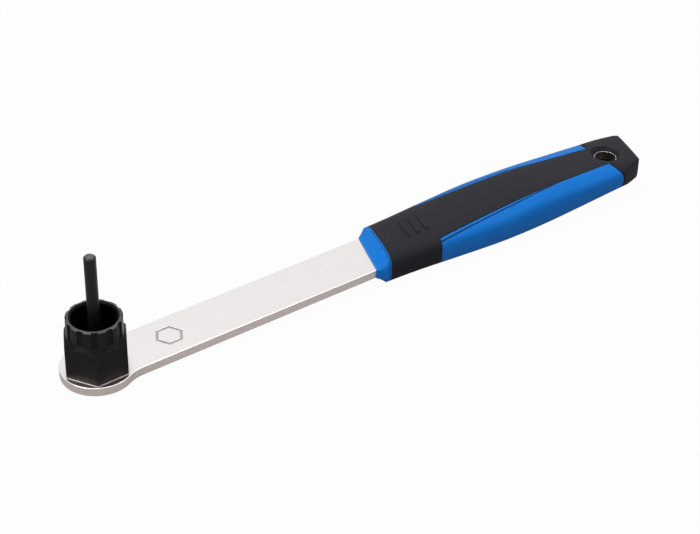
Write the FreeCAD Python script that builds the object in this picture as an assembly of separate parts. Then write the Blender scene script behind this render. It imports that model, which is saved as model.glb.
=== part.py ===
import FreeCAD, Part
import math
import os

# Lockring tool: a flat steel lever with a splined socket standing on its eye,
# a guide pin in the socket and a two-colour moulded handle on its tang.
# Millimetres. The origin is the centre of the eye on the lever's top face,
# +X runs along the lever to the handle and +Z is the socket's axis.

# Lever plate
plate_thickness = 4.0
bar_width = 23.8
eye_radius = 15.4
eye_blend_radius = 14.0
tang_width = 18.0
edge_rounding = 0.3
stub_bore_radius = 9.0
hang_hole_from_tail = 16.0
hang_hole_radius = 5.0

# Stamped hexagon on the bar
stamp_x = 34.0
stamp_across_flats = 11.0
stamp_line_width = 1.1
stamp_depth = 0.3

# Socket
hex_across_flats = 24.8
hex_turn_deg = 1.2
hex_top_z = 14.2
hex_top_cone_deg = 40.0
hex_bottom_bevel = 0.5
spline_count = 12
spline_tip_radius = 11.6
spline_root_radius = 10.9
spline_tip_share = 0.46
spline_root_share = 0.62
rim_z = 24.5
rim_bevel = 0.4
cup_radius = 9.4
cup_floor_z = 5.5
cup_mouth_bevel = 0.8
stub_bevel = 0.4
stub_recess = 0.2

# Guide pin: it stands on the cup's floor, on a thinner foot in a blind bore
pin_radius = 2.5
pin_top_z = 53.2
pin_foot_radius = 2.1
pin_foot_z = -1.5
pin_end_bevel = 0.6

# Handle: half sizes of its section at the nose, the belly and the tail. The section
# is a squared oval: a power of 2 is an ellipse, and a higher one has squarer corners.
# Its nose, collar and tail are cut on a slant, seen from above.
nose_front_x = 135.8
nose_slant_deg = 18.5
collar_x = 141.7
collar_slant_deg = 15.0
belly_wide_x = 200.0
belly_deep_x = 220.0
tail_x = 291.2
tail_slant_deg = 16.0
nose_front_half_width = 12.6
nose_front_half_height = 2.9
nose_half_width = 14.9
nose_half_height = 7.6
belly_half_width = 18.3
belly_half_height = 9.4
tail_half_width = 15.6
tail_half_height = 5.4
nose_front_power = 7.0
nose_power = 3.4
belly_power = 3.2
tail_power = 3.6
nose_run_out = 9.0
collar_land = 1.6
bevel_overlap = 0.15
handle_droop_deg = 0.78
handle_sections = 15
quadrant_points = 9
tail_bevel = 2.0
tail_corner_radius = 4.5
tail_end_taper = 5.2

# Overmoulded grip and the side panels of the core that show through it
skin = 2.2
core_end_from_tail = 26.2
panel_front_from_collar = 27.3
panel_front_slant_deg = 15.0
panel_end_from_tail = 18.4
panel_end_radius = 8.3
panel_front_half_gap = 13.6
panel_middle_half_gap = 10.9
panel_rear_half_gap = 7.9
panel_front_slope = -0.055
panel_rear_slope = -0.05
panel_middle_x = 214.0
hang_pit_radius = 7.4
hang_pit_depth = 2.6
hang_pit_margin = 0.2

# Thumb ribs on the grip
rib_count = 3
ribs_from_collar = 13.3
rib_pitch = 4.8
rib_width = 1.8
rib_length = 11.0
rib_height = 0.45

# Clearances
stub_clearance = 0.03
pin_clearance = 0.02
tang_clearance = 0.05
skin_clearance = 0.05
panel_groove = 0.35

# Values that follow from the sizes above
bar_half = bar_width / 2
tang_half = tang_width / 2
plate_bottom_z = -plate_thickness
plate_middle_z = -plate_thickness / 2
hex_corner_radius = hex_across_flats / math.sqrt(3)
stub_radius = stub_bore_radius - stub_clearance
pin_bore_radius = pin_foot_radius + pin_clearance
tang_shoulder_x = collar_x
panel_front_x = collar_x + panel_front_from_collar
rib_first_x = collar_x + ribs_from_collar
hang_hole_x = tail_x - hang_hole_from_tail
core_end_x = tail_x - core_end_from_tail
panel_end_x = tail_x - panel_end_from_tail

# How far cutting shapes run past what they cut, and how deep joined ones sink in
over = 1.0
sink = 2.0
reach = 2 * belly_half_width

Z = FreeCAD.Vector(0, 0, 1)


def vec(x, y, z=0.0):
    return FreeCAD.Vector(x, y, z)


def cylinder(radius, z0, z1, x=0.0, y=0.0):
    return Part.makeCylinder(radius, z1 - z0, vec(x, y, z0))


def box(x0, x1, y0, y1, z0, z1):
    return Part.makeBox(x1 - x0, y1 - y0, z1 - z0, vec(x0, y0, z0))


def prism(points, z0, z1):
    """A straight-sided solid over a closed polygon of (x, y) points."""
    corners = [vec(x, y, z0) for x, y in points]
    face = Part.Face(Part.makePolygon(corners + corners[:1]))
    return face.extrude(vec(0, 0, z1 - z0))


def turned(profile):
    """A solid of revolution about the socket's axis from (radius, z) points."""
    corners = [vec(r, 0, z) for r, z in profile]
    face = Part.Face(Part.makePolygon(corners + corners[:1]))
    return face.revolve(vec(0, 0), Z, 360)


def hexagon_wire(across_flats, z, turn_deg=0.0, x=0.0):
    radius = across_flats / math.sqrt(3)
    angles = [math.radians(turn_deg + 60 * i) for i in range(6)]
    corners = [vec(x + radius * math.cos(a), radius * math.sin(a), z) for a in angles]
    return Part.makePolygon(corners + corners[:1])


def hexagon(across_flats, z0, z1, turn_deg=0.0, x=0.0):
    wire = hexagon_wire(across_flats, z0, turn_deg, x)
    return Part.Face(wire).extrude(vec(0, 0, z1 - z0))


def lever_outline(grow, z0, z1, eye=True):
    """The lever in plan: eye, bar, narrower tang and its round end."""
    bar = box(0, tang_shoulder_x + grow, -bar_half - grow, bar_half + grow, z0, z1)
    half = tang_half + grow
    tang = box(tang_shoulder_x, hang_hole_x, -half, half, z0, z1)
    end = cylinder(half, z0, z1, hang_hole_x)
    solid = bar.fuse([tang, end])
    if eye:
        solid = solid.fuse([cylinder(eye_radius, z0, z1)] + eye_blends(z0, z1))
    return solid.removeSplitter()


def eye_blends(z0, z1):
    """Concave webs, tangent to the eye and to the bar's two long edges."""
    centre_y = bar_half + eye_blend_radius
    centre_x = math.sqrt((eye_radius + eye_blend_radius) ** 2 - centre_y ** 2)
    share = eye_radius / (eye_radius + eye_blend_radius)
    webs = []
    for side in (1, -1):
        corners = [
            (0, 0),
            (centre_x * share, side * centre_y * share),
            (centre_x, side * centre_y),
            (centre_x, 0),
        ]
        if side < 0:
            corners.reverse()
        hollow = cylinder(eye_blend_radius, z0 - over, z1 + over, centre_x, side * centre_y)
        webs.append(prism(corners, z0, z1).cut(hollow))
    return webs


def lever_plate():
    plate = lever_outline(0, plate_bottom_z, 0)
    rims = []
    for edge in plate.Edges:
        middle = edge.valueAt((edge.FirstParameter + edge.LastParameter) / 2)
        level = edge.BoundBox.ZLength < 0.01
        if level and middle.x < tang_shoulder_x - edge_rounding:
            rims.append(edge)
    plate = plate.makeFillet(edge_rounding, rims)
    plate = plate.cut(cylinder(stub_bore_radius, plate_bottom_z - over, over))
    plate = plate.cut(cylinder(hang_hole_radius, plate_bottom_z - over, over, hang_hole_x))
    outer = hexagon(stamp_across_flats, -stamp_depth, over, x=stamp_x)
    inner = hexagon(stamp_across_flats - 2 * stamp_line_width, -stamp_depth, over, x=stamp_x)
    return plate.cut(outer.cut(inner))


def spline_teeth():
    """Straight teeth round the cup, narrower at the tip than at the root."""
    pitch = 2 * math.pi / spline_count
    teeth = []
    inner = spline_root_radius - over
    outer = spline_tip_radius + over
    for i in range(spline_count):
        middle = (i + 0.5) * pitch + math.radians(hex_turn_deg)
        tip = spline_tip_share * pitch / 2
        root = spline_root_share * pitch / 2
        shape = [
            (inner * math.cos(middle - root), inner * math.sin(middle - root)),
            (outer * math.cos(middle - tip), outer * math.sin(middle - tip)),
            (outer * math.cos(middle + tip), outer * math.sin(middle + tip)),
            (inner * math.cos(middle + root), inner * math.sin(middle + root)),
        ]
        teeth.append(prism(shape, hex_top_z - sink, rim_z))
    return teeth


def splined_socket():
    # The hexagon is bevelled at its foot and turned down to a cone at its top.
    foot = Part.makeLoft([
        hexagon_wire(hex_across_flats - 2 * hex_bottom_bevel, 0, hex_turn_deg),
        hexagon_wire(hex_across_flats, hex_bottom_bevel, hex_turn_deg),
    ], True, True)
    slope = math.tan(math.radians(hex_top_cone_deg))
    cone_rise = (hex_corner_radius - spline_root_radius) * slope
    turn_limit = turned([
        (0, 0),
        (hex_corner_radius, 0),
        (hex_corner_radius, hex_top_z),
        (spline_root_radius, hex_top_z + cone_rise),
        (0, hex_top_z + cone_rise),
    ])
    body = hexagon(hex_across_flats, hex_bottom_bevel, rim_z, hex_turn_deg).common(turn_limit)

    # The teeth run down into the cone, and a bevel takes off their top corners.
    tooth_limit = turned([
        (0, hex_top_z),
        (hex_corner_radius, hex_top_z),
        (spline_tip_radius, hex_top_z + (hex_corner_radius - spline_tip_radius) * slope),
        (spline_tip_radius, rim_z - rim_bevel),
        (spline_tip_radius - rim_bevel, rim_z),
        (0, rim_z),
    ])
    barrel = turned([
        (0, hex_top_z - sink),
        (spline_root_radius, hex_top_z - sink),
        (spline_root_radius, rim_z),
        (0, rim_z),
    ])
    teeth = [tooth.common(tooth_limit) for tooth in spline_teeth()]
    body = body.fuse([foot, barrel] + teeth)

    # The stub goes down through the lever's eye.
    stub = turned([
        (0, plate_bottom_z + stub_recess),
        (stub_radius - stub_bevel, plate_bottom_z + stub_recess),
        (stub_radius, plate_bottom_z + stub_recess + stub_bevel),
        (stub_radius, hex_bottom_bevel),
        (0, hex_bottom_bevel),
    ])
    body = body.fuse(stub).removeSplitter()

    # The cup, its bevelled mouth and the blind bore that takes the pin's foot.
    cup = turned([
        (0, cup_floor_z),
        (cup_radius, cup_floor_z),
        (cup_radius, rim_z - cup_mouth_bevel),
        (cup_radius + cup_mouth_bevel, rim_z),
        (cup_radius + cup_mouth_bevel, rim_z + over),
        (0, rim_z + over),
    ])
    return body.cut([cup, cylinder(pin_bore_radius, pin_foot_z, cup_floor_z + over)])


def guide_pin():
    return turned([
        (0, pin_foot_z),
        (pin_foot_radius, pin_foot_z),
        (pin_foot_radius, cup_floor_z),
        (pin_radius, cup_floor_z),
        (pin_radius, pin_top_z - pin_end_bevel),
        (pin_radius - pin_end_bevel, pin_top_z),
        (0, pin_top_z),
    ])


def ease(t):
    """From 0 to 1: a smooth step mixed half and half with a straight line."""
    t = min(max(t, 0.0), 1.0)
    return (t + t * t * (3 - 2 * t)) / 2


def swell(x, nose, belly, tail, belly_x):
    if x < belly_x:
        return nose + (belly - nose) * ease((x - collar_x) / (belly_x - collar_x))
    return belly + (tail - belly) * ease((x - belly_x) / (tail_x - belly_x))


def half_width(x):
    return swell(x, nose_half_width, belly_half_width, tail_half_width, belly_wide_x)


def half_height(x):
    return swell(x, nose_half_height, belly_half_height, tail_half_height, belly_deep_x)


def middle_z(x):
    """The handle leans down a little from the lever's middle plane."""
    return plate_middle_z - math.tan(math.radians(handle_droop_deg)) * (x - nose_front_x)


def squared_oval(x, half_w, half_h, power, slant_deg=0.0):
    """A wire of four smooth quadrants in an upright plane, squarer than an ellipse."""
    z = middle_z(x)
    lean = math.tan(math.radians(slant_deg))
    across, up = vec(lean, 1, 0), vec(0, 0, 1)
    headings = [up, across * -1, up * -1, across, up]
    edges = []
    for quadrant in range(4):
        points = []
        for i in range(quadrant_points):
            turn = math.pi / 2 * (quadrant + i / (quadrant_points - 1))
            c, s = math.cos(turn), math.sin(turn)
            size = (abs(c) ** power + abs(s) ** power) ** (-1 / power)
            points.append(vec(x, 0, z) + across * (half_w * size * c) + up * (half_h * size * s))
        curve = Part.BSplineCurve()
        curve.interpolate(
            Points=points,
            InitialTangent=headings[quadrant],
            FinalTangent=headings[quadrant + 1],
        )
        edges.append(curve.toShape())
    return Part.Wire(edges)


def section_at(x, inset=0.0, slant_deg=0.0):
    w = half_width(x) - inset
    h = half_height(x) - inset
    power = swell(x, nose_power, belly_power, tail_power, belly_wide_x)
    return squared_oval(x, w, h, power, slant_deg)


def handle_loft(x0, x1, inset=0.0):
    step = (x1 - x0) / (handle_sections - 1)
    wires = [section_at(x0 + i * step, inset) for i in range(handle_sections)]
    return Part.makeLoft(wires, True, False)


def lean_at_edge(slant_deg):
    return math.tan(math.radians(slant_deg)) * reach


def beyond(x, slant_deg):
    """All that lies past an upright plane that crosses the centre line at x."""
    lean = lean_at_edge(slant_deg)
    far = tail_x + 2 * reach
    corners = [(x - lean, -reach), (far, -reach), (far, reach), (x + lean, reach)]
    return prism(corners, -reach, reach)


def handle_body():
    return handle_loft(nose_front_x - nose_run_out, tail_x + nose_run_out)


def handle_nose(body):
    """A collar, bevelled from a thin front round the bar, then straight up to the grip."""
    front = squared_oval(
        nose_front_x, nose_front_half_width, nose_front_half_height,
        nose_front_power, nose_slant_deg,
    )
    back = section_at(collar_x - collar_land, -bevel_overlap, collar_slant_deg)
    end = section_at(collar_x, -bevel_overlap, collar_slant_deg)
    return body.common(Part.makeLoft([front, back, end], True, True))


def tail_plan():
    """The tail in plan, tapered, cut on a slant, and rounded at its two corners."""
    end = tail_half_width - tail_end_taper
    lean = math.tan(math.radians(tail_slant_deg)) * end
    start = half_width(panel_end_x)
    corners = [
        (panel_end_x, -start),
        (tail_x - lean, -end),
        (tail_x + lean, end),
        (panel_end_x, start),
    ]
    block = prism(corners, -reach, reach)
    upright = []
    for edge in block.Edges:
        if edge.BoundBox.ZLength > reach and edge.BoundBox.XMin > panel_end_x + over:
            upright.append(edge)
    block = block.makeFillet(tail_corner_radius, upright)
    return block.fuse(box(0, panel_end_x, -reach, reach, -reach, reach))


def handle_outer(body):
    """The outside from the collar to the tail, bevelled round its tail face."""
    bevel_x = tail_x - tail_bevel
    wires = [
        section_at(bevel_x, -bevel_overlap, tail_slant_deg),
        section_at(tail_x, tail_bevel, tail_slant_deg),
    ]
    end = body.common(Part.makeLoft(wires, True, True))
    shaft = body.common(beyond(collar_x, collar_slant_deg))
    shaft = shaft.cut(beyond(bevel_x, tail_slant_deg))
    return shaft.fuse(end)


def panel_region(gap):
    """Where the core shows: outside a curve in plan, with a round rear end."""
    front = panel_front_x - gap
    start_x = front - lean_at_edge(panel_front_slant_deg)
    points = [
        vec(start_x, panel_front_half_gap - gap, -reach),
        vec(panel_middle_x, panel_middle_half_gap - gap, -reach),
        vec(panel_end_x + gap, panel_rear_half_gap - gap, -reach),
    ]
    curve = Part.BSplineCurve()
    lead, trail = vec(1, panel_front_slope), vec(1, panel_rear_slope)
    curve.interpolate(Points=points, InitialTangent=lead, FinalTangent=trail)
    corners = [
        points[2],
        vec(panel_end_x + gap, reach, -reach),
        vec(start_x, reach, -reach),
        points[0],
    ]
    edges = [Part.makeLine(a, b) for a, b in zip(corners, corners[1:])]
    plan = Part.Face(Part.Wire([curve.toShape()] + edges)).extrude(vec(0, 0, 2 * reach))

    centre_x = panel_end_x - panel_end_radius
    side = box(start_x, centre_x, 0, reach, -reach, reach)
    radius = panel_end_radius + gap
    centre = vec(centre_x, 0, middle_z(centre_x))
    round_end = Part.makeCylinder(radius, reach, centre, vec(0, 1, 0))
    half = plan.common(side.fuse(round_end))
    both = half.fuse(half.mirror(vec(0, 0), vec(0, 1)))
    return both.common(beyond(front, panel_front_slant_deg))


def tang_pocket():
    return lever_outline(tang_clearance, plate_bottom_z, 0, eye=False)


def handle_core(body, outer):
    inner = handle_loft(nose_front_x - nose_run_out, core_end_x, skin)
    inner = inner.common(beyond(collar_x, collar_slant_deg))
    panels = outer.common(panel_region(0))
    core = inner.fuse([handle_nose(body), panels])
    return core.cut(tang_pocket())


def thumb_ribs():
    ribs = []
    proud = handle_loft(nose_front_x - nose_run_out, tail_x, -rib_height)
    half = rib_length / 2
    lean = math.tan(math.radians(collar_slant_deg)) * half
    for i in range(rib_count):
        x0 = rib_first_x + i * rib_pitch
        x1 = x0 + rib_width
        corners = [(x0 - lean, -half), (x1 - lean, -half), (x1 + lean, half), (x0 + lean, half)]
        ribs.append(prism(corners, 0, reach).common(proud))
    return ribs


def hang_pits():
    """Funnels in the grip, above and below, down to the hole in the tang."""
    foot = hang_hole_radius + hang_pit_margin
    slope = (hang_pit_radius - foot) / hang_pit_depth
    rise = half_height(hang_hole_x)
    pits = []
    for face_z, direction in ((0, 1), (plate_bottom_z, -1)):
        wide = foot + slope * 2 * rise
        start = vec(hang_hole_x, 0, face_z)
        pits.append(Part.makeCone(foot, wide, 2 * rise, start, vec(0, 0, direction)))
    return pits


def handle_grip(outer):
    grip = outer.common(tail_plan()).fuse(thumb_ribs())
    inside = handle_loft(nose_front_x - nose_run_out, core_end_x, skin - skin_clearance)
    return grip.cut([inside, panel_region(panel_groove), tang_pocket()] + hang_pits())


def write(name, shape):
    whole = shape.removeSplitter()
    count = len(whole.Solids)
    print(name, "solids", count, "valid", whole.isValid(), "volume", round(whole.Volume, 2))
    part = whole.Solids[0] if count == 1 else whole
    part.exportStep(os.path.join("parts", name + ".step"))


os.makedirs("parts", exist_ok=True)
whole_handle = handle_body()
outer_shape = handle_outer(whole_handle)
write("lever_plate", lever_plate())
write("splined_socket", splined_socket())
write("guide_pin", guide_pin())
write("handle_core", handle_core(whole_handle, outer_shape))
write("handle_grip", handle_grip(outer_shape))
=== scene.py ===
# %% [markdown]
# A lever tool for lockrings, dressed from its CAD frame.
#
# The frame holds five pieces at real size: a steel lever, a splined socket, a guide
# pin, and a handle that is moulded in two colours. Their shapes are right already, so
# this lesson keeps every CAD mesh and gives each one a finish of its own. A finish is
# built from nodes in millimetres on the piece itself, so it looks the same from
# every side and stays on the tool when it moves.

# %% Load the frame
import math

import bpy
from mathutils import Matrix, Vector


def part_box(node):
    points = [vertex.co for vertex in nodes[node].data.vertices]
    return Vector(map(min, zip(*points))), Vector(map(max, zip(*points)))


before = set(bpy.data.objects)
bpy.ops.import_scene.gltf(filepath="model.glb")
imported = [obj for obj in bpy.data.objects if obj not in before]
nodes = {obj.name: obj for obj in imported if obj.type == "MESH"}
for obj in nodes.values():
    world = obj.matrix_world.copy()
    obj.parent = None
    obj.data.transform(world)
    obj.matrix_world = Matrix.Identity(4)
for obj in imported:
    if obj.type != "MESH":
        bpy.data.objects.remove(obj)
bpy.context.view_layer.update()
print("nodes:", ", ".join(sorted(nodes)))

# %% [markdown]
# Shader sums as Python sums.
#
# Long chains of Math nodes are hard to read. One small class wraps a socket, and its
# operators add the Math node that does the sum. The reflected forms are there too, so
# that 1 - mask works as it reads.

# %% A socket that can be added, multiplied and compared


class Value:
    """One output socket of a node tree."""

    def __init__(self, tree, socket):
        self.tree = tree
        self.socket = socket

    def math(self, operation, first, second=0.0):
        settings = {"operation": operation}
        return self.tree.node("ShaderNodeMath", settings, {0: first, 1: second})

    def __add__(self, other):
        return self.math("ADD", self, other)

    def __sub__(self, other):
        return self.math("SUBTRACT", self, other)

    def __rsub__(self, other):
        return self.math("SUBTRACT", other, self)

    def __mul__(self, other):
        return self.math("MULTIPLY", self, other)

    def __truediv__(self, other):
        return self.math("DIVIDE", self, other)

    def __lt__(self, other):
        return self.math("LESS_THAN", self, other)

    def __gt__(self, other):
        return self.math("GREATER_THAN", self, other)

    def __abs__(self):
        return self.math("ABSOLUTE", self)

    __radd__ = __add__
    __rmul__ = __mul__

    def clamped(self):
        return self.math("MAXIMUM", self.math("MINIMUM", self, 1.0), 0.0)

    def at_most(self, high):
        return self.math("MINIMUM", self, high)


print("a socket wrapped in Value can be added, multiplied and compared")

# %% [markdown]
# One way to add a node.
#
# Materials, the floor and the room are all node trees, so one method adds every node.
# It takes the node's type, its settings, what its sockets get and the output that is
# wanted. A socket gets a plain number or colour, or a Value from another node.

# %% The nodes of one tree


class Nodes:
    """The node tree of a material or a world."""

    def __init__(self, tree):
        self.tree = tree
        self.tree.nodes.clear()

    def node(self, kind, settings=None, inputs=None, output=0):
        made = self.tree.nodes.new(kind)
        for key, value in (settings or {}).items():
            setattr(made, key, value)
        for key, value in (inputs or {}).items():
            if isinstance(value, Value):
                self.tree.links.new(value.socket, made.inputs[key])
            else:
                made.inputs[key].default_value = value
        return Value(self, made.outputs[output]) if made.outputs else None

    def vector(self, operation, inputs, output=0):
        settings = {"operation": operation}
        return self.node("ShaderNodeVectorMath", settings, inputs, output)


print("Nodes adds every node by one method")

# %% [markdown]
# One recipe for each finish.
#
# A recipe makes a material. Its helpers are what every finish here needs: the point on
# the piece in millimetres, noise of a given grain size, a mix of two colours, and the
# places where two faces meet. Real edges are never sharp, so a finish shades each one
# as if it had a small radius.

# %% The recipe and its helpers
METRES_PER_MM = 0.001
BEVEL_SAMPLES = 6


class Recipe(Nodes):
    """A material under construction."""

    def __init__(self, name):
        self.material = bpy.data.materials.new(name)
        self.material.use_nodes = True
        super().__init__(self.material.node_tree)

    def place(self):
        """The point on the piece, in millimetres."""
        point = self.node("ShaderNodeTexCoord", output="Object")
        return self.vector("SCALE", {0: point, "Scale": 1 / METRES_PER_MM})

    def axes(self, vector):
        """The x, y and z of a vector."""
        split = self.node("ShaderNodeSeparateXYZ", inputs={0: vector})
        return [Value(self, socket) for socket in split.socket.node.outputs]

    def flat_normal(self):
        """The direction that the face itself looks in."""
        return self.node("ShaderNodeNewGeometry", output="Normal")

    def stretched(self, place, x, y, z):
        return self.vector("MULTIPLY", {0: place, 1: (x, y, z)})

    def radius(self, place, centre=(0.0, 0.0)):
        """The distance in plan from an upright axis."""
        moved = self.vector("SUBTRACT", {0: place, 1: (*centre, 0.0)})
        return self.vector("LENGTH", {0: self.stretched(moved, 1.0, 1.0, 0.0)}, "Value")

    def noise(self, place, grain_mm, detail=2.0, roughness=0.5):
        """Noise from 0 to 1 whose blots are about grain_mm across."""
        inputs = {
            "Vector": place,
            "Scale": 1.0 / grain_mm,
            "Detail": detail,
            "Roughness": roughness,
        }
        return self.node("ShaderNodeTexNoise", {}, inputs)

    def mix(self, factor, first, second):
        """One colour that turns into another. The sockets go by number, because
        a Mix node repeats their names for each type of data."""
        settings = {"data_type": "RGBA"}
        inputs = {0: factor, 6: first, 7: second}
        return self.node("ShaderNodeMix", settings, inputs, 2)

    def blended(self, factor, first, second):
        """One direction that turns into another."""
        settings = {"data_type": "VECTOR"}
        inputs = {0: factor, 4: first, 5: second}
        both = self.node("ShaderNodeMix", settings, inputs, 1)
        return self.vector("NORMALIZE", {0: both})

    def rounded_normal(self, radius_mm):
        """The normal as if every edge had a small radius."""
        settings = {"samples": BEVEL_SAMPLES}
        inputs = {"Radius": radius_mm * METRES_PER_MM}
        return self.node("ShaderNodeBevel", settings, inputs)

    def edges(self, rounded, gain):
        """1 where two faces meet, 0 on the faces."""
        inputs = {0: rounded, 1: self.flat_normal()}
        same = self.vector("DOT_PRODUCT", inputs, "Value")
        return ((1.0 - same) * gain).clamped()

    def bumped(self, height_mm, normal):
        inputs = {
            "Height": height_mm,
            "Distance": METRES_PER_MM,
            "Strength": 1.0,
            "Normal": normal,
        }
        return self.node("ShaderNodeBump", {}, inputs)

    def surface(self, shader):
        self.node("ShaderNodeOutputMaterial", inputs={"Surface": shader})
        return self.material

    def finish(self, **sockets):
        """The surface itself. A socket's name is written with _ for its spaces."""
        inputs = {key.replace("_", " "): value for key, value in sockets.items()}
        return self.surface(self.node("ShaderNodeBsdfPrincipled", {}, inputs))


def dress(name, material):
    """Give a CAD piece its finish."""
    slots = nodes[name].data.materials
    slots.clear()
    slots.append(material)
    print(name, "has", len(nodes[name].data.polygons), "faces and wears", material.name)


# %% [markdown]
# The satin plate.
#
# The lever is blanked from 4 mm steel sheet and plated. Its top is a bright satin that
# still mirrors what stands close to it, so the black socket shows in the eye in front
# of its foot. Plating over a tumbled blank leaves a fine mottle. The sheared sides
# are duller and warmer, with fine upright streaks. The rim of the eye and the bar's
# edges get a painted shade, a shade darker than the faces.
#
# Two places are painted darker. The stamped hexagon gets painted shade, for the shade
# that falls into its step, and it is rougher. The bore of the hang hole is dull and
# gets a brown painted shade, for the handle's shadow that falls inside it.

# %% Plated steel for the lever
PLATE_COLOUR = (0.92, 0.895, 0.885, 1.0)
PLATE_DULL = (0.77, 0.74, 0.73, 1.0)
PLATE_SIDE = (0.86, 0.765, 0.735, 1.0)
PLATE_EDGE_PAINTED_SHADE = (0.60, 0.57, 0.55, 1.0)
PLATE_EDGE_RADIUS = 0.3
PLATE_ROUGHNESS = 0.15
BORE_BROWN_PAINTED_SHADE = (0.20, 0.165, 0.145, 1.0)
STAMP_PAINTED_SHADE = (0.16, 0.15, 0.145, 1.0)
STAMP_X = 34.0
STAMP_REACH = 7.5
STAMP_TOP_Z = -0.06
STAMP_FLOOR_Z = -0.5
HANG_HOLE = (275.2, 0.0)
HANG_HOLE_REACH = 5.06
HANG_HOLE_RIM = 1.0
MOTTLE_LOW = 0.35
MOTTLE_GAIN = 2.6
SIDE_GAIN = 1.5


def plated_steel():
    made = Recipe("plated_steel")
    place = made.place()
    x, y, z = made.axes(place)
    mottle = made.noise(place, 0.8, detail=4.0, roughness=0.7)
    cloud = made.noise(place, 9.0)
    grain = made.noise(place, 0.25)
    upright = made.stretched(place, 3.0, 3.0, 0.25)
    streaks = made.noise(upright, 1.0, detail=3.0)
    rounded = made.rounded_normal(PLATE_EDGE_RADIUS)
    up = made.axes(made.flat_normal())[2]
    side = (1.0 - abs(up) * SIDE_GAIN).clamped()
    near_stamp = (abs(x - STAMP_X) < STAMP_REACH) * (abs(y) < STAMP_REACH)
    stamped = near_stamp * (z < STAMP_TOP_Z) * (z > STAMP_FLOOR_Z)
    from_hole = made.radius(place, HANG_HOLE)
    bore = from_hole < HANG_HOLE_REACH
    clear_of_hole = from_hole > HANG_HOLE_REACH + HANG_HOLE_RIM
    edge_wear_and_painted_light = made.edges(rounded, gain=6.0) * clear_of_hole
    speckle = ((mottle - MOTTLE_LOW) * MOTTLE_GAIN).clamped()
    colour = made.mix(speckle * 0.6 + cloud * 0.3, PLATE_COLOUR, PLATE_DULL)
    colour = made.mix(side * (0.8 + streaks * 0.2), colour, PLATE_SIDE)
    # painted shade: the step of the stamped hexagon is painted darker
    colour = made.mix(stamped * 0.7, colour, STAMP_PAINTED_SHADE)
    # painted shade: the plate's edges and the eye's rim are painted a shade darker
    colour = made.mix(edge_wear_and_painted_light * (1.0 - stamped) * 0.8, colour, PLATE_EDGE_PAINTED_SHADE)
    # painted shade: the bore of the hang hole is painted dark brown for the handle's
    # shadow in it
    colour = made.mix(bore * side, colour, BORE_BROWN_PAINTED_SHADE)
    satin = PLATE_ROUGHNESS + mottle * 0.07 + cloud * 0.04
    height = mottle * 0.007 + grain * 0.0015 + streaks * side * 0.012
    return made.finish(
        Base_Color=colour,
        Metallic=1.0,
        Roughness=satin + side * 0.16 + stamped * 0.3,
        Normal=made.bumped(height, rounded),
    )


dress("lever_plate", plated_steel())

# %% [markdown]
# Blackened steel.
#
# The socket is machined and hardened, then blackened in a hot bath, and the guide pin
# is ground rod with the same finish. The film is thin: it stays matt and nearly black
# on the faces, and wears towards bare grey along the edges. The pin shows the
# fine rings of grinding, and the socket the upright marks of broaching. One class
# holds what the two share, and each piece adds the places where its film has gone.

# %% Blackened steel for the socket and the pin
BLACK_FILM = (0.0115, 0.0098, 0.0102, 1.0)
BLACK_FILM_WARM = (0.024, 0.0195, 0.0195, 1.0)
INSIDE_PAINTED_SHADE = (0.0015, 0.0014, 0.0014, 1.0)
BARE_STEEL = (0.24, 0.235, 0.235, 1.0)
BLACK_EDGE_RADIUS = 0.28
BLACK_METALLIC = 0.88
BLACK_ROUGHNESS = 0.36
UPRIGHT_MARKS = (4.0, 4.0, 0.2)
RING_MARKS = (0.3, 0.3, 6.0)


class Blackened(Recipe):
    """Steel with a black film, shared by the socket and the pin."""

    def __init__(self, name, marks):
        super().__init__(name)
        point = self.place()
        self.z = self.axes(point)[2]
        self.from_axis = self.radius(point)
        self.rounded = self.rounded_normal(BLACK_EDGE_RADIUS)
        self.edge_wear_and_painted_light = self.edges(self.rounded, gain=5.0)
        self.patches = self.noise(point, 3.5, detail=3.0)
        self.rub = self.noise(point, 0.8, detail=3.0)
        self.pores = self.noise(point, 0.18)
        self.lines = self.noise(self.stretched(point, *marks), 1.0)
        self.film = self.mix(self.patches, BLACK_FILM, BLACK_FILM_WARM)

    def coated(self, colour, bare, shine):
        matt = BLACK_ROUGHNESS + self.patches * 0.10 + self.rub * 0.08
        height = self.lines * 0.006 + self.pores * 0.003 + self.rub * 0.003
        return self.finish(
            Base_Color=colour,
            Metallic=BLACK_METALLIC,
            Roughness=matt - bare * 0.08 - shine,
            Normal=self.bumped(height, self.rounded),
        )


print("Blackened holds the film that the socket and the pin share")

# %% [markdown]
# Where the socket is bare, and where it is black.
#
# A lockring rubs the tips of the teeth, and fingers and other tools rub the rim, so
# these are paler; on the tips part of that paleness is a painted sheen. The foot of the
# hexagon gets a painted highlight, a thin bright line where its edge catches the light.
# The inside of the cup is deep and sees little light, and so do the slopes between the
# teeth and the hexagon, so both get painted shade, the darkest black.

# %% The socket: painted highlight at the foot, rubbed teeth with painted sheen and a cup in painted shade
FOOT_PAINTED_HIGHLIGHT = (0.60, 0.54, 0.49, 1.0)
TOOTH_WEAR_AND_SHEEN = (0.030, 0.026, 0.026, 1.0)
FOOT_LINE_LOW = 0.16
FOOT_LINE_HIGH = 0.46
TEETH_FOOT_Z = 14.6
TEETH_RISE = 0.5
CONE_TOP_Z = 20.0
CONE_MIN_UP = 0.3
RIM_Z = 24.05
MOUTH_RADIUS = 10.25
TOOTH_ROOT_RADIUS = 10.95


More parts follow.
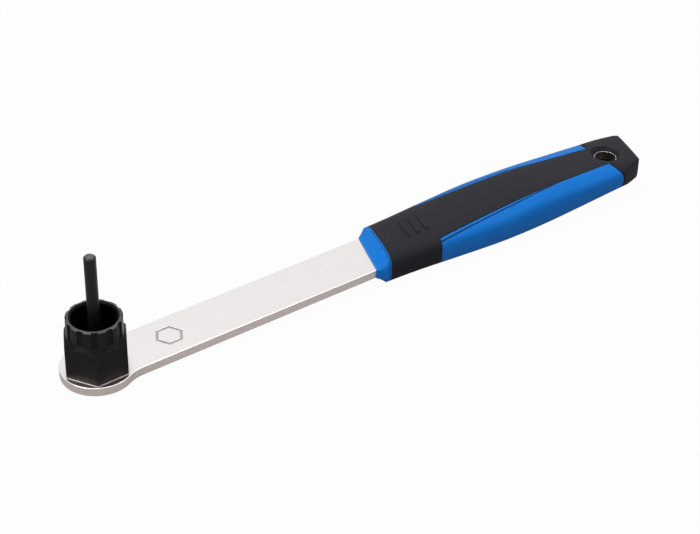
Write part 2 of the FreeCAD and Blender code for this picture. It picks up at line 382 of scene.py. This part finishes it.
def blackened_socket():
    made = Blackened("blackened_socket", UPRIGHT_MARKS)
    outside = made.from_axis > MOUTH_RADIUS
    rim = (made.z > RIM_Z) * outside
    up_tooth = ((made.from_axis - TOOTH_ROOT_RADIUS) / TEETH_RISE).clamped()
    tips = up_tooth * (made.z > TEETH_FOOT_Z)
    foot = (made.z < FOOT_LINE_HIGH) * (made.z > FOOT_LINE_LOW) * outside
    ring = (made.edge_wear_and_painted_light * (0.5 + made.rub)).clamped()
    bare = (ring * 0.22 + rim * (0.25 + made.edge_wear_and_painted_light * 0.45)).clamped() * outside
    up = made.axes(made.flat_normal())[2]
    cone = (up > CONE_MIN_UP) * (made.z < CONE_TOP_Z)
    # the tooth tips: paler from wear, and partly a painted sheen
    colour = made.mix(tips * (0.2 + made.lines * 0.6), made.film, TOOTH_WEAR_AND_SHEEN)
    colour = made.mix(bare, colour, BARE_STEEL)
    # painted shade: the slopes between the teeth and the hexagon are painted the
    # darkest black
    colour = made.mix(cone * 0.85, colour, INSIDE_PAINTED_SHADE)
    # painted highlight: a thin bright line at the hexagon's foot
    colour = made.mix(foot * (0.6 + made.rub * 0.5), colour, FOOT_PAINTED_HIGHLIGHT)
    # painted shade: the inside of the cup is painted the darkest black
    colour = made.mix(outside, INSIDE_PAINTED_SHADE, colour)
    return made.coated(colour, bare, tips * 0.08)


dress("splined_socket", blackened_socket())

# %% The pin: a rubbed end face inside a dark bevel
PIN_RUBBED = (0.060, 0.052, 0.062, 1.0)
PIN_FACE_Z = 53.1
PIN_FACE_RADIUS = 1.85
PIN_SHINE = 0.05


def blackened_pin():
    made = Blackened("blackened_pin", RING_MARKS)
    face = (made.z > PIN_FACE_Z) * (made.from_axis < PIN_FACE_RADIUS)
    bare = (face * (0.05 + made.rub * 0.75)).clamped()
    colour = made.mix(made.lines * 0.8, made.film, PIN_RUBBED)
    colour = made.mix(bare, colour, BARE_STEEL)
    return made.coated(colour, bare, PIN_SHINE)


dress("guide_pin", blackened_pin())

# %% [markdown]
# The blue core.
#
# The core is moulded first, in a hard blue plastic, and shows at the collar and in two
# long side panels. The mould is lightly spark-eroded, so the plastic has a fine even
# grain and a soft shine. Its edges get a painted highlight, a lighter blue.
#
# The second moulding's tool has to close on the first, and that leaves two thin lines.
# One is a shallow groove beside the grip, on the front part of each panel. It
# runs 1.2 mm outside the grip's edge, then closes on it and fades out. The other is a
# seam round the collar, which leans as the collar does. Both are drawn here from
# x and y alone, because they are finer than a CAD model of this size needs. Both are
# darkened with painted shade, and the groove is also dented by a bump.

# %% Moulded blue plastic with its parting groove
BLUE = (0.0022, 0.200, 0.680, 1.0)
BLUE_DEEP = (0.0014, 0.158, 0.600, 1.0)
BLUE_PAINTED_SHADE = (0.0010, 0.018, 0.085, 1.0)
BLUE_EDGE_PAINTED_HIGHLIGHT = (0.030, 0.290, 0.800, 1.0)
BLUE_ROUGHNESS = 0.38
BLUE_SPECULAR = 0.15
HANDLE_EDGE_RADIUS = 0.35
GRIP_EDGE_X = 214.0
GRIP_EDGE_Y = 10.9
GRIP_EDGE_SLOPE = 0.0525
GROOVE_START_X = 160.0
GROOVE_END_X = 242.0
GROOVE_FADE = 12.0
GROOVE_OFFSET = 1.2
GROOVE_CLOSING = 0.036
GROOVE_HALF_WIDTH = 0.48
GROOVE_DEPTH = 0.35
COLLAR_SEAM_X = 140.95
COLLAR_LEAN = 0.268
COLLAR_SEAM = 0.2


def blue_plastic():
    made = Recipe("moulded_blue")
    place = made.place()
    x, y = made.axes(place)[:2]
    rounded = made.rounded_normal(HANDLE_EDGE_RADIUS)
    edge_wear_and_painted_light = made.edges(rounded, gain=4.0)
    cloud = made.noise(place, 14.0)
    grain = made.noise(place, 0.22)
    flow = made.noise(made.stretched(place, 0.05, 0.5, 0.5), 1.0)
    grip_edge = GRIP_EDGE_Y - (x - GRIP_EDGE_X) * GRIP_EDGE_SLOPE
    offset = ((GROOVE_END_X - x) * GROOVE_CLOSING).at_most(GROOVE_OFFSET)
    off = abs(abs(y) - (grip_edge + offset)) / GROOVE_HALF_WIDTH
    there = (x > GROOVE_START_X) * ((GROOVE_END_X - x) / GROOVE_FADE).clamped()
    groove = (1.0 - off).clamped() * there
    seam = abs(x - y * COLLAR_LEAN - COLLAR_SEAM_X) < COLLAR_SEAM
    colour = made.mix(cloud * 0.6 + flow * 0.3, BLUE, BLUE_DEEP)
    # painted highlight: the edges are painted a lighter blue
    colour = made.mix(edge_wear_and_painted_light * 0.45, colour, BLUE_EDGE_PAINTED_HIGHLIGHT)
    # painted shade: the groove and the collar seam are painted dark blue
    colour = made.mix((groove * 1.3 + seam).clamped() * 0.92, colour, BLUE_PAINTED_SHADE)
    height = grain * 0.010 + flow * 0.01 - groove * GROOVE_DEPTH
    return made.finish(
        Base_Color=colour,
        Roughness=BLUE_ROUGHNESS + grain * 0.10 + cloud * 0.06,
        Specular_IOR_Level=BLUE_SPECULAR,
        Normal=made.bumped(height, rounded),
    )


dress("handle_core", blue_plastic())

# %% [markdown]
# The soft grip.
#
# The second moulding is a black rubbery plastic. Its mould has a leather-like grain of
# shallow cells a few tenths of a millimetre across, so light spreads on it and the
# black looks a little grey and cool on the faces that look up. Hands polish it
# first where it is proud, so its edges and the three ribs are smoother and paler.
#
# The tail is cut thick and its corners are soft, so it is shaded with a 3 mm radius.
# That wider radius stops short of the hang hole, or it would smear the funnel.

# %% Soft black grip
GRIP_BLACK = (0.0095, 0.0090, 0.0125, 1.0)
GRIP_GREY = (0.0180, 0.0172, 0.0245, 1.0)
GRIP_RUBBED = (0.030, 0.029, 0.037, 1.0)
GRIP_ROUGHNESS = 0.46
GRIP_SPECULAR = 0.13
CELLS_PER_MM = 2.2
CELL_DEPTH = 0.055
TAIL_START_X = 266.0
TAIL_RUN = 8.0
TAIL_CORNER = 3.0
FUNNEL_REACH = 9.5


def soft_black():
    made = Recipe("soft_black_grip")
    place = made.place()
    x = made.axes(place)[0]
    rounded = made.rounded_normal(HANDLE_EDGE_RADIUS)
    edge_wear_and_painted_light = made.edges(rounded, gain=4.0)
    tail = ((x - TAIL_START_X) / TAIL_RUN).clamped()
    clear = (made.radius(place, HANG_HOLE) > FUNNEL_REACH) * tail
    soft = made.blended(clear, rounded, made.rounded_normal(TAIL_CORNER))
    cloud = made.noise(place, 11.0, detail=3.0)
    grain = made.noise(place, 0.35, detail=3.0, roughness=0.6)
    settings = {"feature": "SMOOTH_F1"}
    inputs = {"Vector": place, "Scale": CELLS_PER_MM, "Smoothness": 0.6}
    cells = made.node("ShaderNodeTexVoronoi", settings, inputs, "Distance")
    shade = (cloud * 0.5 + grain * 0.5).clamped()
    colour = made.mix(shade, GRIP_BLACK, GRIP_GREY)
    colour = made.mix(edge_wear_and_painted_light * 0.4, colour, GRIP_RUBBED)
    matt = GRIP_ROUGHNESS + grain * 0.12 + cloud * 0.06
    height = cells * CELL_DEPTH + grain * 0.030
    return made.finish(
        Base_Color=colour,
        Roughness=matt - edge_wear_and_painted_light * 0.08,
        Specular_IOR_Level=GRIP_SPECULAR,
        Normal=made.bumped(height, soft),
    )


dress("handle_grip", soft_black())

# %% [markdown]
# The floor.
#
# On a table the tool stands on the rim of its eye and on the handle's belly, so the
# plate leans by about two degrees. The pieces keep the CAD's frame, so here it is the
# floor that leans: a plane that starts under the eye's rim and drops just enough to
# pass under the handle. The camera sees it nearly white with a soft shadow, by
# Is Camera Ray, while the light it throws back is that of a grey table.

# %% Floor under the eye and the belly
FLOOR_HALF = 6.0
FLOOR_GAP = 0.00005
FLOOR_GREY = (0.45, 0.445, 0.44, 1.0)
FLOOR_WHITENESS = 0.97
WHITE = (1.0, 1.0, 1.0, 1.0)

eye_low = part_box("lever_plate")[0]
slope = 0.0
for name in ("handle_core", "handle_grip"):
    for vertex in nodes[name].data.vertices:
        drop = eye_low.z - vertex.co.z
        slope = max(slope, drop / (vertex.co.x - eye_low.x))
corners = []
for side_x, side_y in ((-1, -1), (1, -1), (1, 1), (-1, 1)):
    run = side_x * FLOOR_HALF
    z = eye_low.z - slope * run - FLOOR_GAP
    corners.append((eye_low.x + run, side_y * FLOOR_HALF, z))
floor_mesh = bpy.data.meshes.new("floor")
floor_mesh.from_pydata(corners, [], [(0, 1, 2, 3)])
floor = bpy.data.objects.new("floor", floor_mesh)
bpy.context.scene.collection.objects.link(floor)


def pale_floor():
    made = Recipe("pale_floor")
    to_camera = made.node("ShaderNodeLightPath", output="Is Camera Ray")
    paper = made.node("ShaderNodeBsdfDiffuse", {}, {"Color": FLOOR_GREY})
    white = made.node("ShaderNodeEmission", {}, {"Color": WHITE, "Strength": 1.0})
    inputs = {0: to_camera * FLOOR_WHITENESS, 1: paper, 2: white}
    return made.surface(made.node("ShaderNodeMixShader", {}, inputs))


floor_mesh.materials.append(pale_floor())
print("the floor leans", round(math.degrees(math.atan(slope)), 2), "degrees")

# %% [markdown]
# The pale room.
#
# A product table stands in a white tent. The camera sees the tent as pure white, and
# polished metal mirrors it nearly as white from every side, by Is Glossy Ray. Its light
# on the tool is much weaker, so that the lamps still give the faces their shape.

# %% The room, as the camera, the metal and the plain surfaces see it
SEEN_STRENGTH = 1.0
MIRRORED_STRENGTH = 0.93
ROOM_STRENGTH = 0.26

world = bpy.data.worlds.new("pale_room")
bpy.context.scene.world = world
world.use_nodes = True
room = Nodes(world.node_tree)
strengths = (ROOM_STRENGTH, MIRRORED_STRENGTH, SEEN_STRENGTH)
plain, mirrored, seen = (
    room.node("ShaderNodeBackground", {}, {"Color": WHITE, "Strength": strength})
    for strength in strengths
)
to_metal = room.node("ShaderNodeLightPath", output="Is Glossy Ray")
lit = room.node("ShaderNodeMixShader", {}, {0: to_metal, 1: plain, 2: mirrored})
to_camera = room.node("ShaderNodeLightPath", output="Is Camera Ray")
tent = room.node("ShaderNodeMixShader", {}, {0: to_camera, 1: lit, 2: seen})
room.node("ShaderNodeOutputWorld", {}, {"Surface": tent})
print("the room's strengths for plain, metal and camera:", strengths)

# %% [markdown]
# Soft studio light.
#
# The main softbox hangs over the tool, so the upward faces are the brightest and those
# towards the camera fall off to a deeper tone. A smaller one from the left models
# the socket and the pin, and a weak one from the right draws a soft light along
# the crest of the handle. Softboxes this large leave no hard shadow.

# %% Three softboxes
TOOL_MIDDLE = Vector((0.14, 0.0, 0.0))


def softbox(name, place, size, watts):
    data = bpy.data.lights.new(name, "AREA")
    data.shape = "RECTANGLE"
    data.size, data.size_y = size
    data.energy = watts
    lamp = bpy.data.objects.new(name, data)
    bpy.context.scene.collection.objects.link(lamp)
    lamp.location = place
    direction = TOOL_MIDDLE - Vector(place)
    lamp.rotation_euler = direction.to_track_quat("-Z", "Y").to_euler()


softbox("top_softbox", place=(0.10, 0.20, 1.25), size=(1.2, 1.0), watts=10.5)
softbox("left_softbox", place=(-0.95, -0.10, 0.75), size=(0.7, 0.7), watts=5.5)
softbox("crest_softbox", place=(0.73, -0.55, 0.89), size=(0.5, 0.5), watts=1.6)
print("three softboxes light the tool")

# %% [markdown]
# The camera.
#
# The picture was solved for its camera from the pin, the hexagon's corners and the
# lever's long edges: the tool is seen from its front left, 35 degrees above it, with a
# long lens. The camera here has that place and a roll of just over one degree.

# %% Camera at the picture's view
AZIMUTH, ELEVATION, ROLL = (math.radians(v) for v in (-36.977, 35.316, 1.21))
CAMERA_PLACE = Vector((-0.29226, -0.55577, 0.48985))
FOCAL_PIXELS = 1961.165
PICTURE_WIDTH = 700
SENSOR = 36.0
CLIP_NEAR, CLIP_FAR = 0.01, 50.0

back = Vector((
    math.sin(AZIMUTH) * math.cos(ELEVATION),
    -math.cos(AZIMUTH) * math.cos(ELEVATION),
    math.sin(ELEVATION),
))
right = Vector((math.cos(AZIMUTH), math.sin(AZIMUTH), 0.0))
up = back.cross(right)
turned_right = right * math.cos(ROLL) + up * math.sin(ROLL)
turned_up = up * math.cos(ROLL) - right * math.sin(ROLL)
turn = Matrix((turned_right, turned_up, back)).transposed().to_4x4()
camera_data = bpy.data.cameras.new("picture_camera")
camera_data.sensor_width = SENSOR
camera_data.lens = FOCAL_PIXELS * SENSOR / PICTURE_WIDTH
camera_data.clip_start = CLIP_NEAR
camera_data.clip_end = CLIP_FAR
camera = bpy.data.objects.new("picture_camera", camera_data)
bpy.context.scene.collection.objects.link(camera)
camera.matrix_world = Matrix.Translation(CAMERA_PLACE) @ turn
bpy.context.scene.camera = camera
bpy.context.scene.view_settings.view_transform = "Standard"
print("lens", round(camera_data.lens, 1), "mm")
